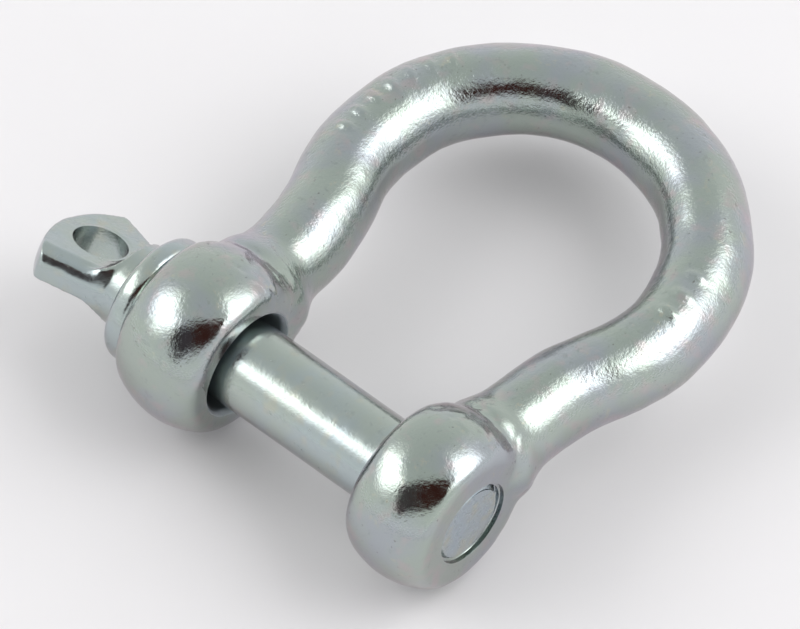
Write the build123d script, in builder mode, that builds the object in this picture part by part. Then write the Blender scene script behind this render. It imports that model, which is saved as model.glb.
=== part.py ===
from build123d import *
import math
import os

# Forged bow shackle with a screw pin, for 10 mm pin stock. Lengths are in millimetres.
# Frame: the origin is on the pin's axis, between the ears. +X runs along the pin to the
# threaded ear, +Y runs to the crown of the bow, and +Z is square to the bow's plane.

# Bow, forged from round bar
BAR_DIAMETER = 10.2
EAR_OUTER_FACE = 21.9  # from the middle of the jaw
EAR_CENTRE = 16.2
PLAIN_EAR_INNER_FACE = 10.4
PLAIN_EAR_DIAMETER = 20.8
PLAIN_EAR_INNER_ROUNDING = 2.0
THREADED_EAR_INNER_FACE = 10.9
THREADED_EAR_DIAMETER = 20.2
THREADED_EAR_INNER_ROUNDING = 2.7
EAR_OUTER_ROUNDING = 1.6
CROWN_RADIUS = 20.8  # centre line of the bar
FLARE_RADIUS = 30.0  # centre line of the reverse bend in each leg
LEG_LENGTH = 14.5  # straight part of each leg, from the pin's axis
LEG_ANGLE = 3.0  # degrees that each leg leans outward
PLAIN_NECK_BLEND = 1.2  # radius where a leg runs into its ear
THREADED_NECK_BLEND = 0.8
NECK_REACH = 12.0  # the legs are free of their ears beyond this, along Y

# Holes in the ears
PLAIN_HOLE_DIAMETER = 12.0
PLAIN_HOLE_CHAMFER = 0.6
RECESS_DIAMETER = 10.6  # smooth entry to the threaded hole
RECESS_DEPTH = 1.0
EXIT_CHAMFER = 0.35

# Screw thread, M10 x 1.5, right hand
THREAD_PITCH = 1.5
THREAD_MAJOR_DIAMETER = 9.66
THREAD_MINOR_DIAMETER = 8.1
THREAD_CREST_WIDTH = 0.19
THREAD_FLANK_ANGLE = 30.0  # degrees between a flank and a plane square to the axis
THREAD_CLEARANCE = 0.12  # gap between the pin's thread and the ear's
GROOVE_OVERCUT = 0.3  # how far the groove's section reaches outside the rod
GROOVE_START = 8.3  # where the groove's helix starts along the pin's axis
GROOVE_LENGTH = 17.4

# Screw pin
PIN_DIAMETER = 10.0
SHANK_ENTRY = 0.05  # how far the plain shank reaches into the threaded ear
TIP_RECESS = 0.3  # how far the pin's flat end sits below the ear's outer face
TIP_CHAMFER = 0.35
SHANK_CHAMFER = 0.3
COLLAR_DIAMETER = 15.3
COLLAR_THICKNESS = 3.0
COLLAR_ROUNDING = 1.15
NECK_DIAMETER = 10.2
NECK_LENGTH = 2.3

# Flat tang with an eye, on the end of the pin
TANG_ANGLE = -28.0  # degrees about the pin's axis when the pin is tight
TANG_THICKNESS = 4.0
TANG_ROOT_RADIUS = 3.0  # where the flats run out into the round neck
TANG_WIDTH = 15.4
TANG_FLARE_LENGTH = 7.6  # from the neck to the tang's two corners
TANG_TIP_RISE = 3.2  # height of the arc at the tang's end
TANG_CORNER_ROUNDING = 0.7
EYE_DIAMETER = 6.1
EYE_FROM_NECK = 5.4
EYE_CHAMFER = 0.3

shank_start_x = -EAR_OUTER_FACE
shank_end_x = THREADED_EAR_INNER_FACE + SHANK_ENTRY
tip_x = EAR_OUTER_FACE - TIP_RECESS
collar_outer_x = -EAR_OUTER_FACE - COLLAR_THICKNESS
neck_end_x = collar_outer_x - NECK_LENGTH
tang_corner_x = neck_end_x - TANG_FLARE_LENGTH
tang_end_x = tang_corner_x - TANG_TIP_RISE
tang_end_radius = (TANG_WIDTH**2 / 4 + TANG_TIP_RISE**2) / (2 * TANG_TIP_RISE)

tang_plane = Plane.XY.rotated((TANG_ANGLE, 0, 0))
tang_side_plane = Plane(origin=(0, 0, 0), x_dir=(1, 0, 0), z_dir=-tang_plane.y_dir)


def bow_centre_line():
    """Centre line of the bar from one ear round the crown to the other, in the XY plane."""
    lean = math.radians(LEG_ANGLE)
    flare_centre_x = EAR_CENTRE + LEG_LENGTH * math.sin(lean) + FLARE_RADIUS * math.cos(lean)
    sweep_angle = math.degrees(math.acos(flare_centre_x / (CROWN_RADIUS + FLARE_RADIUS)))
    flare_angle = sweep_angle - LEG_ANGLE
    with BuildLine() as line:
        right_leg = Line(
            (EAR_CENTRE, 0),
            (EAR_CENTRE + LEG_LENGTH * math.sin(lean), LEG_LENGTH * math.cos(lean)),
        )
        right_flare = JernArc(right_leg @ 1, right_leg % 1, FLARE_RADIUS, -flare_angle)
        crown = JernArc(right_flare @ 1, right_flare % 1, CROWN_RADIUS, 180 + 2 * sweep_angle)
        left_flare = JernArc(crown @ 1, crown % 1, FLARE_RADIUS, -flare_angle)
        Line(left_flare @ 1, (-EAR_CENTRE, 0))
    return line.line


def ear(side, diameter, inner_face, inner_rounding):
    """A round ear, a ball with two flats; side is +1 for the threaded ear and -1 for the plain one."""
    with BuildPart() as solid:
        with Locations((side * EAR_CENTRE, 0, 0)):
            Sphere(diameter / 2)
        split(bisect_by=Plane.YZ.offset(side * inner_face), keep=Keep.TOP if side > 0 else Keep.BOTTOM)
        split(bisect_by=Plane.YZ.offset(side * EAR_OUTER_FACE), keep=Keep.BOTTOM if side > 0 else Keep.TOP)
        flats = solid.faces().filter_by(GeomType.PLANE).sort_by(lambda face: abs(face.center().X))
        inner_flat, outer_flat = flats
        fillet(inner_flat.edges(), inner_rounding)
        fillet(outer_flat.edges(), EAR_OUTER_ROUNDING)
    return solid.part


def neck_edges(piece, side):
    """The curved edges where the leg on this side of the jaw runs into its ear."""
    curved = piece.edges().filter_by(lambda edge: edge.geom_type not in (GeomType.CIRCLE, GeomType.LINE))
    near = curved.filter_by(lambda edge: BAR_DIAMETER / 2 < edge.center().Y < NECK_REACH)
    return near.filter_by(lambda edge: side * edge.center().X > 0)


def threaded_rod(clearance, start_x, end_x):
    """A right-hand threaded rod on the pin's axis, grown all round by a clearance.

    The groove's helix always starts at the same point, so rods of any length are in phase.
    """
    major_radius = THREAD_MAJOR_DIAMETER / 2 + clearance
    depth = (THREAD_MAJOR_DIAMETER - THREAD_MINOR_DIAMETER) / 2
    mouth = THREAD_PITCH - THREAD_CREST_WIDTH - 2 * clearance
    slope = math.tan(math.radians(THREAD_FLANK_ANGLE))
    helix = Helix(
        pitch=THREAD_PITCH,
        height=GROOVE_LENGTH,
        radius=major_radius,
        center=(GROOVE_START, 0, 0),
        direction=(1, 0, 0),
    )
    with BuildPart() as rod:
        with BuildSketch(Plane.YZ.offset(start_x)):
            Circle(major_radius)
        extrude(amount=end_x - start_x)
        with BuildSketch(Plane(origin=helix @ 0, x_dir=(0, 0, 1), z_dir=helix % 0)):
            with BuildLine():
                Polyline(
                    (-depth, -mouth / 2 + slope * depth),
                    (-depth, mouth / 2 - slope * depth),
                    (GROOVE_OVERCUT, mouth / 2 + slope * GROOVE_OVERCUT),
                    (GROOVE_OVERCUT, -mouth / 2 - slope * GROOVE_OVERCUT),
                    close=True,
                )
            make_face()
        sweep(path=helix, is_frenet=True, mode=Mode.SUBTRACT)
    return rod.part


def circles_of_radius(piece, radius):
    """The whole circular edges of a piece that have this radius."""
    circles = piece.edges().filter_by(GeomType.CIRCLE)
    return circles.filter_by(lambda edge: abs(edge.radius - radius) < 0.01)


def export(piece, name):
    """Name a finished piece and write it as its own STEP file."""
    piece.part.label = name
    export_step(piece.part, f"parts/{name}.step")


os.makedirs("parts", exist_ok=True)

# Shape of the threaded ear's hole: a smooth entry from the jaw, then the thread
with BuildPart() as threaded_hole:
    thread_start_x = THREADED_EAR_INNER_FACE - THREAD_PITCH
    add(threaded_rod(THREAD_CLEARANCE, thread_start_x, EAR_OUTER_FACE + THREAD_PITCH))
    with BuildSketch(Plane.YZ.offset(THREADED_EAR_INNER_FACE + RECESS_DEPTH)):
        Circle(RECESS_DIAMETER / 2)
    extrude(amount=-2 * THREAD_PITCH)

# The bow: one bent bar with an ear at each end, then the two holes
bow_line = bow_centre_line()
with BuildPart() as bow:
    with BuildSketch(Plane(origin=bow_line @ 0, z_dir=bow_line % 0)):
        Circle(BAR_DIAMETER / 2)
    sweep(path=bow_line)
    add(ear(1, THREADED_EAR_DIAMETER, THREADED_EAR_INNER_FACE, THREADED_EAR_INNER_ROUNDING))
    add(ear(-1, PLAIN_EAR_DIAMETER, PLAIN_EAR_INNER_FACE, PLAIN_EAR_INNER_ROUNDING))
    fillet(neck_edges(bow, 1), THREADED_NECK_BLEND)
    fillet(neck_edges(bow, -1), PLAIN_NECK_BLEND)

    # Plain ear: a clearance hole, chamfered at both mouths
    with BuildSketch(Plane.YZ.offset(-EAR_OUTER_FACE)):
        Circle(PLAIN_HOLE_DIAMETER / 2)
    extrude(amount=EAR_OUTER_FACE - PLAIN_EAR_INNER_FACE, mode=Mode.SUBTRACT)
    chamfer(circles_of_radius(bow, PLAIN_HOLE_DIAMETER / 2), PLAIN_HOLE_CHAMFER)

    add(threaded_hole.part, mode=Mode.SUBTRACT)
    with BuildSketch(Plane.YZ.offset(EAR_OUTER_FACE)):
        Circle(THREAD_MAJOR_DIAMETER / 2 + THREAD_CLEARANCE + EXIT_CHAMFER)
    extrude(amount=-2 * EXIT_CHAMFER, taper=45, mode=Mode.SUBTRACT)
export(bow, "bow")

# Plain round shank of the pin
with BuildPart() as pin_shank:
    with BuildSketch(Plane.YZ.offset(shank_start_x)):
        Circle(PIN_DIAMETER / 2)
    extrude(amount=shank_end_x - shank_start_x)
    chamfer(pin_shank.edges().sort_by(Axis.X)[-1], SHANK_CHAMFER)
export(pin_shank, "pin_shank")

# Threaded tip of the pin, chamfered at its end
with BuildPart() as pin_thread:
    add(threaded_rod(0, shank_end_x, tip_x))
    with BuildSketch(Plane.XY):
        with BuildLine():
            Polyline(
                (tip_x - TIP_CHAMFER, THREAD_MAJOR_DIAMETER / 2),
                (tip_x + TIP_CHAMFER, THREAD_MAJOR_DIAMETER / 2 - 2 * TIP_CHAMFER),
                (tip_x + TIP_CHAMFER, THREAD_MAJOR_DIAMETER / 2 + TIP_CHAMFER),
                (tip_x - TIP_CHAMFER, THREAD_MAJOR_DIAMETER / 2 + TIP_CHAMFER),
                close=True,
            )
        make_face()
    revolve(axis=Axis.X, mode=Mode.SUBTRACT)
export(pin_thread, "pin_thread")

# Head of the pin: a round blank, flattened into a tang on two sides, then the eye and the collar
with BuildPart() as pin_head:
    with BuildSketch(Plane.XY):
        with BuildLine():
            Polyline(
                (collar_outer_x, 0),
                (collar_outer_x, NECK_DIAMETER / 2),
                (neck_end_x, NECK_DIAMETER / 2),
                (tang_corner_x, TANG_WIDTH / 2),
            )
            RadiusArc((tang_corner_x, TANG_WIDTH / 2), (tang_end_x, 0), -tang_end_radius)
            Line((tang_end_x, 0), (collar_outer_x, 0))
        make_face()
    revolve(axis=Axis.X)
    fillet(circles_of_radius(pin_head, TANG_WIDTH / 2), TANG_CORNER_ROUNDING)

    # Flats: the blank keeps only what lies inside the tang's side profile
    with BuildSketch(tang_side_plane):
        with BuildLine():
            half = TANG_THICKNESS / 2
            flats_end_x = neck_end_x - TANG_ROOT_RADIUS
            Line((tang_end_x - 1, half), (flats_end_x, half))
            RadiusArc((flats_end_x, half), (neck_end_x, half + TANG_ROOT_RADIUS), -TANG_ROOT_RADIUS)
            Polyline(
                (neck_end_x, half + TANG_ROOT_RADIUS),
                (neck_end_x, TANG_WIDTH),
                (collar_outer_x + 1, TANG_WIDTH),
                (collar_outer_x + 1, 0),
                (tang_end_x - 1, 0),
                (tang_end_x - 1, half),
            )
        make_face()
        mirror(about=Plane.XZ)
    extrude(amount=TANG_WIDTH, both=True, mode=Mode.INTERSECT)

    # Eye, then the collar that bears on the plain ear
    with BuildSketch(tang_plane):
        with Locations((neck_end_x - EYE_FROM_NECK, 0)):
            Circle(EYE_DIAMETER / 2)
    extrude(amount=TANG_THICKNESS, both=True, mode=Mode.SUBTRACT)
    chamfer(circles_of_radius(pin_head, EYE_DIAMETER / 2), EYE_CHAMFER)
    with BuildSketch(Plane.YZ.offset(collar_outer_x)):
        Circle(COLLAR_DIAMETER / 2)
    extrude(amount=COLLAR_THICKNESS)
    fillet(circles_of_radius(pin_head, COLLAR_DIAMETER / 2), COLLAR_ROUNDING)
export(pin_head, "pin_head")
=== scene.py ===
import math

import bpy
import numpy as np
from mathutils import Matrix, Vector


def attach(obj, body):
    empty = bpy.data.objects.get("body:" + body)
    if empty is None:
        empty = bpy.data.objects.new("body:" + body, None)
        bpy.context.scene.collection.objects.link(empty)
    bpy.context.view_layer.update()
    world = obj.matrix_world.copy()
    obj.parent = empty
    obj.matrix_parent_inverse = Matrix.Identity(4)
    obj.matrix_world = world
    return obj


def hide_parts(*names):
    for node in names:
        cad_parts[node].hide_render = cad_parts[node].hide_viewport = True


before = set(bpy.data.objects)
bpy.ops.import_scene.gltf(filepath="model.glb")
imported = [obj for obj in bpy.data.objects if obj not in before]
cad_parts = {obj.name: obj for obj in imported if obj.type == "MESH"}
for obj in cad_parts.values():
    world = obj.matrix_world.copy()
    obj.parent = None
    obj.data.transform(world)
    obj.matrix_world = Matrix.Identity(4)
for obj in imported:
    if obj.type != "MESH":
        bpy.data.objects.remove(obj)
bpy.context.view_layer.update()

# Forged bow shackle with a screw pin. Lengths in the shape functions are in millimetres; meshes are
# scaled to metres when they are made. The frame is the CAD's: the pin's axis is X, the crown is at +Y.
MM = 0.001

# Bow: the CAD's dimensions, with the bar and the ears' inner roundings larger by 0.02 to 0.2
BAR_RADIUS = 5.12
EAR_MIDDLE = 16.2
EAR_OUTER_FACE = 21.9
EAR_OUTER_ROUNDING = 1.6
PLAIN_EAR = {"radius": 10.4, "inner_face": 10.4, "inner_rounding": 2.1}
THREADED_EAR = {"radius": 10.1, "inner_face": 10.9, "inner_rounding": 2.9}
CROWN_RADIUS = 20.8
FLARE_RADIUS = 30.0
LEG_LENGTH = 14.5
LEG_ANGLE = math.radians(3.0)

# Centres of the flare's arc and of the crown's arc, and the angle at which the one runs into the other
BEND_REACH = CROWN_RADIUS + FLARE_RADIUS
FLARE_X = EAR_MIDDLE + LEG_LENGTH * math.sin(LEG_ANGLE) + FLARE_RADIUS * math.cos(LEG_ANGLE)
FLARE_Y = LEG_LENGTH * math.cos(LEG_ANGLE) - FLARE_RADIUS * math.sin(LEG_ANGLE)
SWEEP = math.acos(FLARE_X / BEND_REACH)
CROWN_Y = FLARE_Y + BEND_REACH * math.sin(SWEEP)

# Holes in the ears. The thread and its entry are the CAD's; the exit recess and the rims are this mesh's.
PLAIN_HOLE_RADIUS = 6.0
PLAIN_HOLE_START = -21.3
PLAIN_HOLE_END = -11.5
RIM_RADIUS = 6.7
THREAD_PITCH = 1.5
THREAD_FLANK = math.radians(30)
THREAD_ROOT_WIDTH = 0.43
THREAD_HOLE_MAJOR = 4.95
THREAD_HOLE_MINOR = 4.17
THREAD_START = 8.3
ENTRY_RADIUS = 5.3
ENTRY_END = 11.9
RECESS_RADIUS = 5.05
RECESS_START = 21.35

# Pin, as in the CAD
PIN_RADIUS = 5.0
SHANK_START = -21.9
SHANK_END = 10.95
SHANK_CHAMFER = 0.3
TANG_ANGLE = math.radians(-28.0)
TANG_HALF = 2.0  # half the tang's thickness
TANG_ROOT = 3.0  # radius where its flats run out into the neck
NECK_END = (-27.2, 5.1)  # a long edge of the tang starts here, as X and the place across
TANG_CORNER = (-34.8, 7.7)  # and ends here
EYE_X = -32.6
EYE_RADIUS = 3.05

# Wear on the tang, in this mesh only
EYE_CUT_RADIUS = 3.2
BEVEL_WIDTH = 1.65
BEVEL_ANGLE = math.radians(27)
SIDE_ROUNDING = 2.3

FLOOR_Z = -10.5


# ---------------------------------------------------------------- mesh helpers

def make_mesh(name, points, faces):
    """A new object from points in millimetres."""
    mesh = bpy.data.meshes.new(name)
    mesh.from_pydata([tuple(p) for p in np.asarray(points) * MM], [], faces)
    mesh.validate()
    mesh.update()
    obj = bpy.data.objects.new(name, mesh)
    bpy.context.scene.collection.objects.link(obj)
    return obj


def ring_faces(rings, segments):
    """Quads between rings of points, and a fan to the one point at each end."""
    faces = []
    for i in range(rings - 1):
        for j in range(segments):
            k = (j + 1) % segments
            a, b = i * segments, (i + 1) * segments
            faces.append((a + j, a + k, b + k, b + j))
    first, last = rings * segments, rings * segments + 1
    end = (rings - 1) * segments
    for j in range(segments):
        k = (j + 1) % segments
        faces.append((first, k, j))
        faces.append((last, end + j, end + k))
    return faces


def closed_solid(name, rings, ends, segments):
    """A solid from its rings of points and the middle points of its two ends."""
    obj = make_mesh(name, np.concatenate([*rings, np.array(ends, float)]), ring_faces(len(rings), segments))
    face_outward(obj)
    return obj


def face_outward(obj):
    """Turn a closed mesh's faces outward if its signed volume is negative."""
    mesh = obj.data
    mesh.calc_loop_triangles()
    co = coordinates(mesh)
    triangles = np.array([t.vertices for t in mesh.loop_triangles])
    a, b, c = (co[triangles[:, corner]] for corner in range(3))
    if np.einsum("ij,ij->i", a, np.cross(b, c)).sum() < 0:
        mesh.flip_normals()


def turned(name, profile, segments):
    """A closed solid turned about the X axis from (x, radius) pairs; a radius may be a function."""
    angles = np.linspace(0, 2 * math.pi, segments, endpoint=False)
    rings = []
    for x, radius in profile:
        r = radius(angles) if callable(radius) else radius
        rings.append(np.stack([np.full(segments, x), r * np.cos(angles), r * np.sin(angles)], axis=1))
    return closed_solid(name, rings, [(profile[0][0], 0, 0), (profile[-1][0], 0, 0)], segments)


def coordinates(mesh):
    co = np.empty(len(mesh.vertices) * 3)
    mesh.vertices.foreach_get("co", co)
    return co.reshape(-1, 3)


def set_coordinates(mesh, co):
    mesh.vertices.foreach_set("co", co.ravel())
    mesh.update()


def normals(mesh):
    mesh.update()
    n = np.empty(len(mesh.vertices) * 3)
    mesh.vertex_normals.foreach_get("vector", n)
    return n.reshape(-1, 3)


def edge_array(mesh):
    edges = np.empty(len(mesh.edges) * 2, dtype=np.int64)
    mesh.edges.foreach_get("vertices", edges)
    return edges.reshape(-1, 2)


def apply_modifiers(obj):
    """Replace an object's mesh by its evaluated one, with no modifiers left."""
    graph = bpy.context.evaluated_depsgraph_get()
    mesh = bpy.data.meshes.new_from_object(obj.evaluated_get(graph))
    obj.modifiers.clear()
    obj.data = mesh


def remesh(obj, voxel):
    """Rebuild the surface as even quads of one size in millimetres."""
    modifier = obj.modifiers.new("remesh", "REMESH")
    modifier.mode = "VOXEL"
    modifier.voxel_size = voxel * MM
    apply_modifiers(obj)


def cut(obj, cutter):
    """Take the cutter's solid out of the object's, and delete the cutter."""
    modifier = obj.modifiers.new("cut", "BOOLEAN")
    modifier.operation = "DIFFERENCE"
    modifier.solver = "MANIFOLD"
    modifier.object = cutter
    apply_modifiers(obj)
    bpy.data.objects.remove(cutter)


def neighbour_means(co, edges):
    """The mean place of each point's neighbours."""
    count = np.bincount(edges.ravel(), minlength=len(co))[:, None]
    total = np.zeros_like(co)
    for axis in range(3):
        total[:, axis] = np.bincount(edges[:, 0], co[edges[:, 1], axis], len(co))
        total[:, axis] += np.bincount(edges[:, 1], co[edges[:, 0], axis], len(co))
    return total / count


def smoothed(co, edges, rounds):
    """Taubin smoothing, which doesn't shrink."""
    for _ in range(rounds):
        for step in (0.5, -0.52):
            co = co + step * (neighbour_means(co, edges) - co)
    return co


def relaxed(co, edges, rounds, weight):
    """Plain smoothing, which rounds creases, with a weight for each point."""
    for _ in range(rounds):
        co = co + 0.5 * weight[:, None] * (neighbour_means(co, edges) - co)
    return co


def waves(points, length, rng, count=28):
    """Smooth random relief with unit variance; its features are about half this length across."""
    k = rng.normal(size=(count, 3))
    k *= (2 * math.pi / (length * rng.uniform(0.75, 1.5, count)) / np.linalg.norm(k, axis=1))[:, None]
    phase = rng.uniform(0, 2 * math.pi, count)
    return np.sin(points @ k.T + phase).sum(axis=1) / math.sqrt(count / 2)


def relief(points, layer, rng):
    """Waves of a layer's height and length."""
    height, length = layer
    return height * waves(points, length, rng)


def bell(distance, width):
    return np.exp(-((distance / width) ** 2))


def set_shading(obj, sharp_from):
    """Smooth shading, with the edges sharp where the faces meet at more than this many degrees."""
    obj.data.shade_smooth()
    obj.data.set_sharp_from_angle(angle=math.radians(sharp_from))


# ---------------------------------------------------------------- bow

BOW_SEED = 11
BOW_VOXEL = 0.33
EAR_SEGMENTS = 128

# The bar swells by this much where it meets its ear, round this Y
PLAIN_SWELL = 1.5
THREADED_SWELL = 1.1
SWELL_Y = 8.6
SWELL_LENGTH = 2.3

# The crease of each neck: its distance from the ear's ball, its width and the Y where it starts, then
# how high it is filled and its relief, as (height, length of the waves)
CREASE_OFFSET = 0.4
CREASE_WIDTH = 1.3
CREASE_START_Y = 3.5
CREASE_FILL = 0.05
CREASE_LUMPS = (0.022, 2.2)
CREASE_GRAIN = (0.006, 1.1)

# Folds that run through the crease
FOLD_DEPTH = 0.10
FOLD_WIDTH = 0.3
FOLD_LENGTH = 6.0

# Relief of the forged skin, as (height, length of the waves)
UNDULATIONS = (0.06, 9.0)
DENTS = (0.018, 3.6)
GRAIN = (0.005, 1.7)

# The bend's lopsidedness: how far, in which direction, and over which Y it fades in
LOPSIDED_SHIFT = 0.28
LOPSIDED_ANGLE = math.radians(155)
LOPSIDED_START_Y = 16
LOPSIDED_RUN = 12

# The pips: rows of (radius about the crown's centre, angles in degrees), and one pip's half size
PIP_ROWS = ((22.1, np.linspace(150, 189, 7)), (21.2, (0, 8, 16)))
PIP_ALONG = 0.62
PIP_ACROSS = 1.25
PIP_HEIGHT = 0.27


def bow_path(step):
    """Points and headings along the bar's centre line, from one ear's middle to the other's."""
    points, headings = [], []
    for s in np.arange(0, LEG_LENGTH, step):
        points.append((EAR_MIDDLE + s * math.sin(LEG_ANGLE), s * math.cos(LEG_ANGLE)))
        headings.append(math.pi / 2 - LEG_ANGLE)
    for t in np.arange(0, SWEEP - LEG_ANGLE, step / FLARE_RADIUS):
        a = math.pi - LEG_ANGLE - t
        points.append((FLARE_X + FLARE_RADIUS * math.cos(a), FLARE_Y + FLARE_RADIUS * math.sin(a)))
        headings.append(a - math.pi / 2)
    for t in np.arange(-SWEEP, math.pi / 2, step / CROWN_RADIUS):
        points.append((CROWN_RADIUS * math.cos(t), CROWN_Y + CROWN_RADIUS * math.sin(t)))
        headings.append(t + math.pi / 2)
    half = np.array(points)
    half_heading = np.array(headings)
    path = np.concatenate([half, [(0, CROWN_Y + CROWN_RADIUS)], half[::-1] * (-1, 1)])
    heading = np.concatenate([half_heading, [math.pi], 2 * math.pi - half_heading[::-1]])
    return path, heading


def make_bar(step=0.7, segments=72):
    """The round bar along the bow, a little fatter where it meets each ear."""
    path, heading = bow_path(step)
    around = np.linspace(0, 2 * math.pi, segments, endpoint=False)
    rings = []
    for (x, y), h in zip(path, heading):
        swell = PLAIN_SWELL if x < 0 else THREADED_SWELL
        r = BAR_RADIUS + swell * bell(y - SWELL_Y, SWELL_LENGTH)
        out = r * np.cos(around)
        rings.append(np.stack([x + out * math.sin(h), y - out * math.cos(h), r * np.sin(around)], axis=1))
    return closed_solid("bar", rings, [(*path[0], 0), (*path[-1], 0)], segments)


def make_ear(name, side, radius, inner_face, inner_rounding):
    """A ball with two flats whose edges are rounded."""
    inner = (-1, EAR_MIDDLE - inner_face, inner_rounding)
    outer = (1, EAR_OUTER_FACE - EAR_MIDDLE, EAR_OUTER_ROUNDING)
    halves = []
    for sign, face, rounding in (inner, outer):
        centre_x = face - rounding
        centre_r = math.sqrt((radius - rounding) ** 2 - centre_x**2)
        end = math.atan2(centre_r, centre_x)
        half = [(face, r) for r in np.linspace(0.5, centre_r, 8)]
        for a in np.linspace(0, end, 14)[1:]:
            half.append((centre_x + rounding * math.cos(a), centre_r + rounding * math.sin(a)))
        half += [(radius * math.cos(a), radius * math.sin(a)) for a in np.linspace(end, math.pi / 2, 40)[1:]]
        halves.append([(sign * x, r) for x, r in half])
    profile = halves[0] + halves[1][::-1][1:]
    return turned(name, [(side * (EAR_MIDDLE + x), r) for x, r in profile], EAR_SEGMENTS)


def joined(name, objects):
    """One object with the meshes of several, which are deleted."""
    points, faces, start = [], [], 0
    for obj in objects:
        points.append(coordinates(obj.data) / MM)
        faces += [tuple(v + start for v in p.vertices) for p in obj.data.polygons]
        start += len(obj.data.vertices)
        bpy.data.objects.remove(obj)
    return make_mesh(name, np.concatenate(points), faces)


def forged_height(co, n, from_ball, neck, rng):
    """Height of the forged skin, with the pips. The ears are calmer, and their flats the calmest."""
    flat = (np.abs(n[:, 0]) > 0.97) & (from_ball < -0.3)
    soft = 1 - 0.8 * flat
    ball = bell(np.maximum(from_ball, 0), 1.5)
    calm = 1 - 0.65 * ball * (1 - neck)
    height = (1 - 0.5 * ball) * relief(co, UNDULATIONS, rng) * soft
    height += relief(co, DENTS, rng) * soft * calm
    height += relief(co, GRAIN, rng) * calm
    height += pips(co, n)
    fold = np.abs(waves(co * (1, 1.3, 1), FOLD_LENGTH, rng))
    rough = relief(co, CREASE_LUMPS, rng) + relief(co, CREASE_GRAIN, rng)
    height += neck * (CREASE_FILL - FOLD_DEPTH * bell(fold, FOLD_WIDTH) + rough)
    return height


def pips(co, n):
    """Height of two rows of plain raised ovals on the bow's upper face, in place of forged marks."""
    x, y = co[:, 0], co[:, 1] - CROWN_Y
    radial = np.hypot(x, y)
    turn = np.degrees(np.arctan2(y, x))
    turn = np.where(turn < -90, turn + 360, turn)
    height = np.zeros(len(co))
    for radius, angles in PIP_ROWS:
        for angle in angles:
            along = np.radians(turn - angle) * radius
            inside = (along / PIP_ALONG) ** 2 + ((radial - radius) / PIP_ACROSS) ** 2
            height += PIP_HEIGHT * np.exp(-(inside**2)) * (n[:, 2] > 0.2)
    return height


def make_lopsided(co):
    """Widen the bend a little along one slant, and narrow it as much across that slant."""
    angle = np.arctan2(co[:, 1] - CROWN_Y, co[:, 0])
    fade = np.clip((co[:, 1] - LOPSIDED_START_Y) / LOPSIDED_RUN, 0, 1) ** 2
    shift = LOPSIDED_SHIFT * np.cos(2 * (angle - LOPSIDED_ANGLE)) * fade
    co[:, 0] += shift * np.cos(angle)
    co[:, 1] += shift * np.sin(angle)


def plain_hole_cutter():
    """The clearance hole, with a chamfer on the outer side and a rounded rim on the jaw's side."""
    profile = [(-25.0, RIM_RADIUS + 2.0), (-22.4, RIM_RADIUS)]
    profile += [(PLAIN_HOLE_START, PLAIN_HOLE_RADIUS), (PLAIN_HOLE_END, PLAIN_HOLE_RADIUS)]
    for t in np.linspace(0.25, 1.3, 6):
        profile.append((PLAIN_HOLE_END + 1.2 * math.sin(t), RIM_RADIUS + 0.25 - 0.95 * math.cos(t)))
    profile.append((-9.0, RIM_RADIUS + 0.8))
    return turned("plain_hole", profile, EAR_SEGMENTS)


def thread_radius(x, angles):
    """Radius of the right-hand threaded hole, or of its recess, at one x and these angles."""
    phase = (x - THREAD_START) / THREAD_PITCH + angles / (2 * math.pi)
    along = (np.mod(phase, 1.0) - 0.5) * THREAD_PITCH
    drop = (np.abs(along) - THREAD_ROOT_WIDTH / 2) / math.tan(THREAD_FLANK)
    recess = RECESS_RADIUS if x > RECESS_START else 0
    return np.maximum(np.clip(THREAD_HOLE_MAJOR - drop, THREAD_HOLE_MINOR, THREAD_HOLE_MAJOR), recess)


def thread_cutter():
    """The flared entry on the jaw's side, the thread, and the smooth recess at the outer face."""
    profile = [(9.0, ENTRY_RADIUS + 1.8), (10.7, ENTRY_RADIUS + 0.4), (11.2, ENTRY_RADIUS)]
    profile.append((ENTRY_END - 0.02, ENTRY_RADIUS))
    for x in np.arange(ENTRY_END, 22.6, 0.1):
        profile.append((x, lambda angles, x=x: thread_radius(x, angles)))
    return turned("thread_cutter", profile, 96)


def make_bow():
    rng = np.random.default_rng(BOW_SEED)
    ears = [make_ear("ear_plain", -1, **PLAIN_EAR), make_ear("ear_threaded", 1, **THREADED_EAR)]
    bow = joined("bow_forging", [make_bar(), *ears])
    remesh(bow, BOW_VOXEL)
    mesh = bow.data
    co = coordinates(mesh) / MM
    edges = edge_array(mesh)

    # The crease where each leg leaves its ear is filled a little
    side = np.sign(co[:, 0])
    ear_radius = np.where(side < 0, PLAIN_EAR["radius"], THREADED_EAR["radius"])
    from_ear = np.linalg.norm(co - np.stack([side * EAR_MIDDLE, 0 * side, 0 * side], axis=1), axis=1)
    from_ball = from_ear - ear_radius
    neck = bell(from_ball - CREASE_OFFSET, CREASE_WIDTH) * (co[:, 1] > CREASE_START_Y)
    co = smoothed(co, edges, 5)
    co = relaxed(co, edges, 16, neck * 0.9)
    set_coordinates(mesh, co * MM)

    n = normals(mesh)
    co = co + n * forged_height(co, n, from_ball, neck, rng)[:, None]
    make_lopsided(co)
    set_coordinates(mesh, co * MM)

    # The holes are cut last, crisp through the forged skin
    cut(bow, plain_hole_cutter())
    cut(bow, thread_cutter())
    return bow


bow = make_bow()
set_shading(bow, 35)
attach(bow, "bow")
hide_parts("bow")


# ---------------------------------------------------------------- pin

SHANK_SEED = 5
HEAD_SEED = 7
HEAD_VOXEL = 0.2
COLLAR_BACK = -22.3  # the head's relief stops here, short of the collar's face on the ear

# Relief, as (height, length of the waves)
SHANK_STREAKS = (0.006, 4.0)
SHANK_GRAIN = (0.0025, 1.6)
HEAD_UNDULATIONS = (0.02, 5.0)
HEAD_DENTS = (0.008, 2.0)


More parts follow.
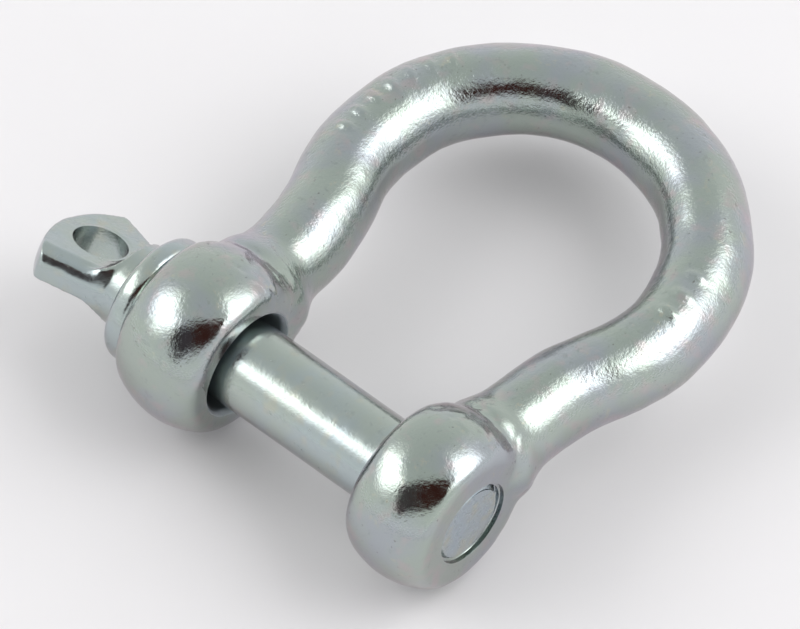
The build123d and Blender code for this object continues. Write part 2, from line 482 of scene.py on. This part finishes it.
def make_shank():
    """A cylinder with a faint relief drawn out along it, chamfered at the thread's end."""
    rng = np.random.default_rng(SHANK_SEED)
    chamfer_x = SHANK_END - SHANK_CHAMFER
    profile = [(x, PIN_RADIUS) for x in np.arange(SHANK_START, chamfer_x - 0.05, 0.3)]
    profile += [(chamfer_x, PIN_RADIUS), (SHANK_END, PIN_RADIUS - SHANK_CHAMFER)]
    shank = turned("pin_shank_turned", profile, 160)
    mesh = shank.data
    co = coordinates(mesh) / MM
    height = relief(co * (0.35, 1, 1), SHANK_STREAKS, rng) + relief(co, SHANK_GRAIN, rng)
    inside = (co[:, 0] > SHANK_START + 0.2) & (co[:, 0] < SHANK_END - 0.5)
    set_coordinates(mesh, (co + normals(mesh) * (height * inside)[:, None]) * MM)
    return shank


def tang_places(co):
    """Each point's place across the tang's width and its height off the tang's middle plane."""
    c, s = math.cos(TANG_ANGLE), math.sin(TANG_ANGLE)
    return co[:, 1] * c + co[:, 2] * s, co[:, 2] * c - co[:, 1] * s


def tang_points(x, y, z):
    """Points from X, the place across the tang's width and the height off its middle plane."""
    c, s = math.cos(TANG_ANGLE), math.sin(TANG_ANGLE)
    return np.stack([x, y * c - z * s, y * s + z * c], axis=1)


def from_eye(co):
    """Each point's distance from the eye's axis."""
    return np.hypot(co[:, 0] - EYE_X, tang_places(co)[0])


def worn_tang(co):
    """Bevel and round two opposite long edges of the tang, and flatten the old rim of its eye."""
    x = co[:, 0]
    y, z = tang_places(co)
    along = np.subtract(TANG_CORNER, NECK_END)
    along /= np.linalg.norm(along)
    inward = -(x - NECK_END[0]) * along[1] + (np.abs(y) - NECK_END[1]) * along[0]
    run_out = np.clip(x - NECK_END[0] + TANG_ROOT, 0, TANG_ROOT)
    top = TANG_HALF + TANG_ROOT - np.sqrt(TANG_ROOT**2 - run_out**2)
    fade = np.clip((-28.6 - x) / 1.6, 0, 1) * (y * z < 0)
    curve = SIDE_ROUNDING - np.sqrt(SIDE_ROUNDING**2 - np.minimum(z**2, TANG_HALF**2))
    push = fade * np.maximum(curve - inward, 0)
    x = x - push * along[1]
    y = y + np.sign(y) * push * along[0]
    bevel = fade * np.maximum(BEVEL_WIDTH - inward - push, 0) * math.tan(BEVEL_ANGLE)
    z = np.where(x < NECK_END[0], np.clip(z, bevel - top, top - bevel), z)
    distance = np.hypot(x - EYE_X, y)
    rim = (np.abs(distance - EYE_RADIUS - 0.25) < 0.45) & (np.abs(z) > TANG_HALF - 0.5)
    z = np.where(rim & (distance > EYE_RADIUS + 0.02), np.sign(z) * TANG_HALF, z)
    return tang_points(x, y, z)


def eye_cutter():
    """A plain cylinder along the eye's axis."""
    cutter = turned("eye_cutter", [(-4.0, EYE_CUT_RADIUS), (4.0, EYE_CUT_RADIUS)], 128)
    co = coordinates(cutter.data) / MM
    set_coordinates(cutter.data, tang_points(EYE_X + co[:, 1], co[:, 2], co[:, 0]) * MM)
    return cutter


def make_head():
    """The CAD's collar, neck and tang as a fine mesh with worn edges."""
    rng = np.random.default_rng(HEAD_SEED)
    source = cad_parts["pin_head"]
    head = bpy.data.objects.new("pin_head_forging", source.data.copy())
    bpy.context.scene.collection.objects.link(head)
    head.matrix_world = source.matrix_world.copy()
    remesh(head, HEAD_VOXEL)
    mesh = head.data
    co = coordinates(mesh) / MM
    edges = edge_array(mesh)
    co = smoothed(co, edges, 4)
    tang = np.clip((-28.5 - co[:, 0]) / 1.5, 0, 1)
    co = relaxed(co, edges, 3, 0.35 + 0.4 * tang)
    co = worn_tang(co)
    co = relaxed(co, edges, 2, 0.7 * tang * (from_eye(co) > EYE_RADIUS + 0.8))
    set_coordinates(mesh, co * MM)
    height = relief(co, HEAD_UNDULATIONS, rng) + relief(co, HEAD_DENTS, rng)
    uneven = (co[:, 0] <= COLLAR_BACK) & (from_eye(co) >= EYE_RADIUS + 0.5)
    set_coordinates(mesh, (co + normals(mesh) * (height * uneven)[:, None]) * MM)
    cut(head, eye_cutter())
    return head


shank = make_shank()
set_shading(shank, 35)
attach(shank, "pin_shank")
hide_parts("pin_shank")

head = make_head()
set_shading(head, 50)
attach(head, "pin_screw")
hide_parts("pin_head")


# ---------------------------------------------------------------- materials

GREEN_GREY = (0.40, 0.455, 0.415, 1)
BLUE_GREY = (0.40, 0.435, 0.46, 1)
BLUSH = (0.50, 0.435, 0.44, 1)
STRAW = (0.49, 0.49, 0.41, 1)
# painted shade: the dark colour given to small pits
PIT_SHADE = (0.20, 0.19, 0.18, 1)
# painted shade: the darker blue-grey of the plain hole's wall
BORE_SHADE_GREY = (0.28, 0.32, 0.35, 1)
TURNED_GREEN = (0.43, 0.485, 0.45, 1)
TURNED_BLUE = (0.42, 0.48, 0.49, 1)
CUT_GREY = (0.45, 0.50, 0.49, 1)
CUT_BLUE = (0.42, 0.50, 0.54, 1)
CUT_STRAW = (0.52, 0.51, 0.36, 1)
ZINC_TINT = (1.0, 0.92, 0.96, 1)  # of the light that grazes the plating
PEEL_DEPTH = 0.00007  # metres
BORE_RADIUS = 6.75  # millimetres, just over the rim of the plain hole


class Nodes:
    """Short hand for building one node tree, of a material or of the world."""

    def __init__(self, owner):
        owner.use_nodes = True
        self.tree = owner.node_tree
        self.tree.nodes.clear()

    def put(self, node, key, value):
        """Link a socket to one of the node's inputs, or set the input to a constant."""
        if isinstance(value, bpy.types.NodeSocket):
            self.tree.links.new(value, node.inputs[key])
        else:
            node.inputs[key].default_value = value

    def add(self, kind, values=None, **settings):
        node = self.tree.nodes.new(kind)
        for key, value in settings.items():
            setattr(node, key, value)
        for key, value in (values or {}).items():
            self.put(node, key, value)
        return node

    def noise(self, vector, scale, detail=2.0, roughness=0.5):
        values = {"Vector": vector, "Scale": scale, "Detail": detail, "Roughness": roughness}
        return self.add("ShaderNodeTexNoise", values).outputs["Fac"]

    def ramp(self, value, low, high, start=0.0, end=1.0):
        values = {"Value": value, "From Min": low, "From Max": high, "To Min": start, "To Max": end}
        return self.add("ShaderNodeMapRange", values).outputs["Result"]

    def axes(self, vector):
        """The X, Y and Z outputs of a vector."""
        return self.add("ShaderNodeSeparateXYZ", {"Vector": vector}).outputs

    def mix(self, share, a, b):
        node = self.add("ShaderNodeMix", data_type="RGBA")
        for index, value in ((0, share), (6, a), (7, b)):
            self.put(node, index, value)
        return node.outputs[2]

    def math(self, operation, a, b=0.0):
        node = self.add("ShaderNodeMath", operation=operation)
        self.put(node, 0, a)
        self.put(node, 1, b)
        return node.outputs[0]


def bore_mask(n, axes):
    """1 on the wall of the plain hole and 0 elsewhere."""
    # the wall marked here is painted darker as shade in zinc()
    squares = n.math("ADD", n.math("POWER", axes["Y"], 2.0), n.math("POWER", axes["Z"], 2.0))
    near_axis = n.ramp(n.math("SQRT", squares), BORE_RADIUS, BORE_RADIUS - 0.3)
    return n.math("MULTIPLY", near_axis, n.ramp(axes["X"], -9.0, -10.0))


def zinc(name, grey, cool, warm, rough, relief, calm, forged=False):
    """Bright zinc plating: a fine orange peel, cloudy cool and warm tints, and small dull specks.

    Near the pin the peel is fainter, by the factor calm, as on the pressed ears. The forging also
    has straw smears and pits painted dark as shade, and the wall of its plain hole is rougher and
    painted darker as shade.
    """
    material = bpy.data.materials.new(name)
    n = Nodes(material)
    place = n.add("ShaderNodeTexCoord").outputs["Object"]
    scaled = n.add("ShaderNodeMapping", {"Vector": place, "Scale": (1000, 1000, 1000)}).outputs[0]
    clouds = n.noise(scaled, 0.16, 3.0)
    bands = n.noise(scaled, 0.42, 2.0)
    blotches = n.noise(scaled, 1.1, 3.0, 0.6)
    peel = n.noise(scaled, 2.6, 3.0, 0.62)
    axes = n.axes(scaled)
    grain = n.math("MULTIPLY", peel, n.ramp(axes["Y"], 7.0, 15.0, calm, 1.0))
    dull = (grey[0] * 0.72, grey[1] * 0.72, grey[2] * 0.74, 1)
    colour = n.mix(n.ramp(clouds, 0.42, 0.62), grey, cool)
    colour = n.mix(n.ramp(bands, 0.55, 0.72, 0.0, 0.55), colour, warm)
    colour = n.mix(n.ramp(blotches, 0.60, 0.78, 0.0, 0.5), colour, dull)
    gloss = n.ramp(blotches, 0.35, 0.7, rough - 0.04, rough + 0.08)
    gloss = n.math("ADD", gloss, n.ramp(peel, 0.4, 0.7, -0.02, 0.03))
    gloss = n.math("ADD", gloss, n.ramp(axes["Y"], 8.0, 16.0, 0.0, 0.03))
    metal = 1.0
    if forged:
        smears = n.noise(scaled, 0.5, 4.0, 0.7)
        colour = n.mix(n.ramp(smears, 0.62, 0.70, 0.0, 0.6), colour, STRAW)
        # painted shade: small pits at random places, painted dark
        pits = n.noise(scaled, 1.9, 2.0)
        colour = n.mix(n.ramp(pits, 0.70, 0.75, 0.0, 0.6), colour, PIT_SHADE)
        # painted shade: the plain hole's wall is painted a darker blue-grey, and made rougher and less
        # metallic
        inside = bore_mask(n, axes)
        colour = n.mix(n.math("MULTIPLY", inside, 0.8), colour, BORE_SHADE_GREY)
        gloss = n.math("ADD", gloss, n.math("MULTIPLY", inside, 0.22))
        metal = n.ramp(inside, 0.0, 1.0, 1.0, 0.7)
    bump = n.add("ShaderNodeBump", {"Height": grain, "Strength": relief, "Distance": PEEL_DEPTH}).outputs[0]
    looks = {"Base Color": colour, "Metallic": metal, "Roughness": gloss, "Normal": bump}
    shader = n.add("ShaderNodeBsdfPrincipled", looks)
    shader.inputs["Specular Tint"].default_value = ZINC_TINT
    n.add("ShaderNodeOutputMaterial", {"Surface": shader.outputs[0]})
    return material


def dress(obj, material):
    """Give an object this one material."""
    obj.data.materials.clear()
    obj.data.materials.append(material)


dress(bow, zinc("zinc_forged", GREEN_GREY, BLUE_GREY, BLUSH, 0.13, 0.76, 0.55, forged=True))
turned_zinc = zinc("zinc_turned", TURNED_GREEN, TURNED_BLUE, STRAW, 0.19, 0.34, 0.7)
dress(shank, turned_zinc)
dress(head, turned_zinc)
cut_zinc = zinc("zinc_cut", CUT_GREY, CUT_BLUE, CUT_STRAW, 0.24, 0.5, 1.0)
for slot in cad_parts["pin_thread"].material_slots:
    slot.material = cut_zinc


# ---------------------------------------------------------------- floor and camera

FLOOR_HALF = 900
PAPER_DARK = (0.805, 0.79, 0.805, 1)
PAPER_LIGHT = (0.825, 0.81, 0.825, 1)

# The camera's directions, the point that it looks at and how far back it is, in metres
AZIMUTH = math.radians(41.46)
ELEVATION = math.radians(52.05)
RIGHT = Vector((math.cos(AZIMUTH), math.sin(AZIMUTH), 0))
BACK = Vector((
    math.sin(AZIMUTH) * math.cos(ELEVATION),
    -math.cos(AZIMUTH) * math.cos(ELEVATION),
    math.sin(ELEVATION),
))
UP = BACK.cross(RIGHT)
MIDDLE = 0.00867 * RIGHT + 0.01085 * UP
DISTANCE = 1.2
LENS_PER_METRE = 418.9


def make_floor():
    """A sheet of white paper, faintly cloudy."""
    corners = [(x * FLOOR_HALF, y * FLOOR_HALF, FLOOR_Z) for x, y in ((-1, -1), (1, -1), (1, 1), (-1, 1))]
    floor = make_mesh("floor", corners, [(0, 1, 2, 3)])
    material = bpy.data.materials.new("floor_paper")
    n = Nodes(material)
    place = n.add("ShaderNodeTexCoord").outputs["Object"]
    shade = n.mix(n.noise(place, 60.0), PAPER_DARK, PAPER_LIGHT)
    shader = n.add("ShaderNodeBsdfPrincipled", {"Base Color": shade, "Roughness": 0.9})
    n.add("ShaderNodeOutputMaterial", {"Surface": shader.outputs[0]})
    floor.data.materials.append(material)


def make_camera():
    data = bpy.data.cameras.new("camera")
    data.sensor_width = 36.0
    data.lens = LENS_PER_METRE * DISTANCE
    data.clip_start = 0.01
    camera = bpy.data.objects.new("camera", data)
    camera.location = MIDDLE + DISTANCE * BACK
    camera.rotation_mode = "QUATERNION"
    camera.rotation_quaternion = Matrix((RIGHT, UP, BACK)).transposed().to_quaternion()
    bpy.context.scene.collection.objects.link(camera)
    bpy.context.scene.camera = camera


make_floor()
make_camera()


# ---------------------------------------------------------------- light

WHITE = (1, 1, 1, 1)
BROWN = (0.060, 0.020, 0.017, 1)
GREY = (0.075, 0.062, 0.065, 1)
TENT_LOW = (0.93, 0.94, 0.93, 1)
TENT_HIGH = (0.62, 0.64, 0.64, 1)
TENT_STRENGTH = 1.07

# Corners of the reflectors, from the lower left and anticlockwise: degrees across and above, as seen
# from the object when it looks at the camera
LEFT_BOX = ((-74, -4), (-27, -4), (-50, 58), (-100, 58))
RIGHT_BOX = ((24, -18), (84, -18), (102, 60), (24, 57))
BROWN_OPENING = ((-18, -21), (28, -14), (28, 18), (-18, 14))
GREY_OPENING = ((-47, -27), (-18, -20), (-18, 14), (-43, 7))
BOX_DISTANCE = 1.0
OPENING_DISTANCE = 0.9
CARD_STEPS = 12
EDGE_GLOW = 0.9  # strength at the edge of a softbox
HARD_EDGES = (0.01, 0.01, 0.01, 0.01)


def card_glow(name, colour, peak, rest, softness):
    """A glow that falls from peak to rest over these shares of the left, right, lower and upper sides."""
    material = bpy.data.materials.new(name)
    n = Nodes(material)
    uv = n.axes(n.add("ShaderNodeTexCoord").outputs["UV"])
    share = 1.0
    for axis, edge, soft in zip("XXYY", (0, 1, 0, 1), softness):
        from_edge = n.math("ABSOLUTE", n.math("SUBTRACT", uv[axis], edge))
        values = {"Value": from_edge, "From Max": soft}
        ramp = n.add("ShaderNodeMapRange", values, interpolation_type="SMOOTHERSTEP")
        share = n.math("MULTIPLY", share, ramp.outputs[0])
    strength = n.ramp(share, 0.0, 1.0, rest, peak)
    glow = n.add("ShaderNodeEmission", {"Color": colour, "Strength": strength})
    n.add("ShaderNodeOutputMaterial", {"Surface": glow.outputs[0]})
    return material


def card(name, corners, distance, material):
    """A reflector between four corners, wrapped round the object at this distance."""
    side = CARD_STEPS + 1
    steps = np.linspace(0, 1, side)
    u, v = (grid.ravel() for grid in np.meshgrid(steps, steps))
    weights = np.stack([(1 - u) * (1 - v), u * (1 - v), u * v, (1 - u) * v], axis=1)
    across, above = np.radians(weights @ np.array(corners, float)).T
    local = np.stack([np.sin(across) * np.cos(above), np.sin(above), np.cos(across) * np.cos(above)], axis=1)
    points = np.array(MIDDLE) + distance * local @ np.array([RIGHT, UP, BACK])
    firsts = [i * side + j for i in range(CARD_STEPS) for j in range(CARD_STEPS)]
    obj = make_mesh(name, points / MM, [(k, k + 1, k + side + 1, k + side) for k in firsts])
    layer = obj.data.uv_layers.new(name="place")
    for loop, place in zip(obj.data.loops, layer.data):
        place.uv = (u[loop.vertex_index], v[loop.vertex_index])
    obj.data.materials.append(material)
    obj.visible_camera = False


def softbox(name, corners, peak, softness):
    """A white reflector that is brightest inside and fades towards its sides."""
    card(name, corners, BOX_DISTANCE, card_glow(name, WHITE, peak, EDGE_GLOW, softness))


def opening(name, corners, colour):
    """A dark gap between the softboxes, of one even colour."""
    card(name, corners, OPENING_DISTANCE, card_glow(name, colour, 1.0, 1.0, HARD_EDGES))


def make_tent():
    """The world's light: a white tent, darker towards the top."""
    world = bpy.data.worlds.new("studio")
    bpy.context.scene.world = world
    n = Nodes(world)
    height = n.axes(n.add("ShaderNodeTexCoord").outputs["Generated"])["Z"]
    tent = n.mix(n.ramp(height, 0.0, 1.0), TENT_LOW, TENT_HIGH)
    light = n.add("ShaderNodeBackground", {"Color": tent, "Strength": TENT_STRENGTH})
    n.add("ShaderNodeOutputWorld", {"Surface": light.outputs[0]})


softbox("softbox_left", LEFT_BOX, 3.3, (0.45, 0.2, 0.35, 0.35))
softbox("softbox_right", RIGHT_BOX, 3.4, (0.2, 0.55, 0.45, 0.35))
opening("opening_brown", BROWN_OPENING, BROWN)
opening("opening_grey", GREY_OPENING, GREY)
make_tent()
bpy.context.scene.view_settings.view_transform = "Standard"
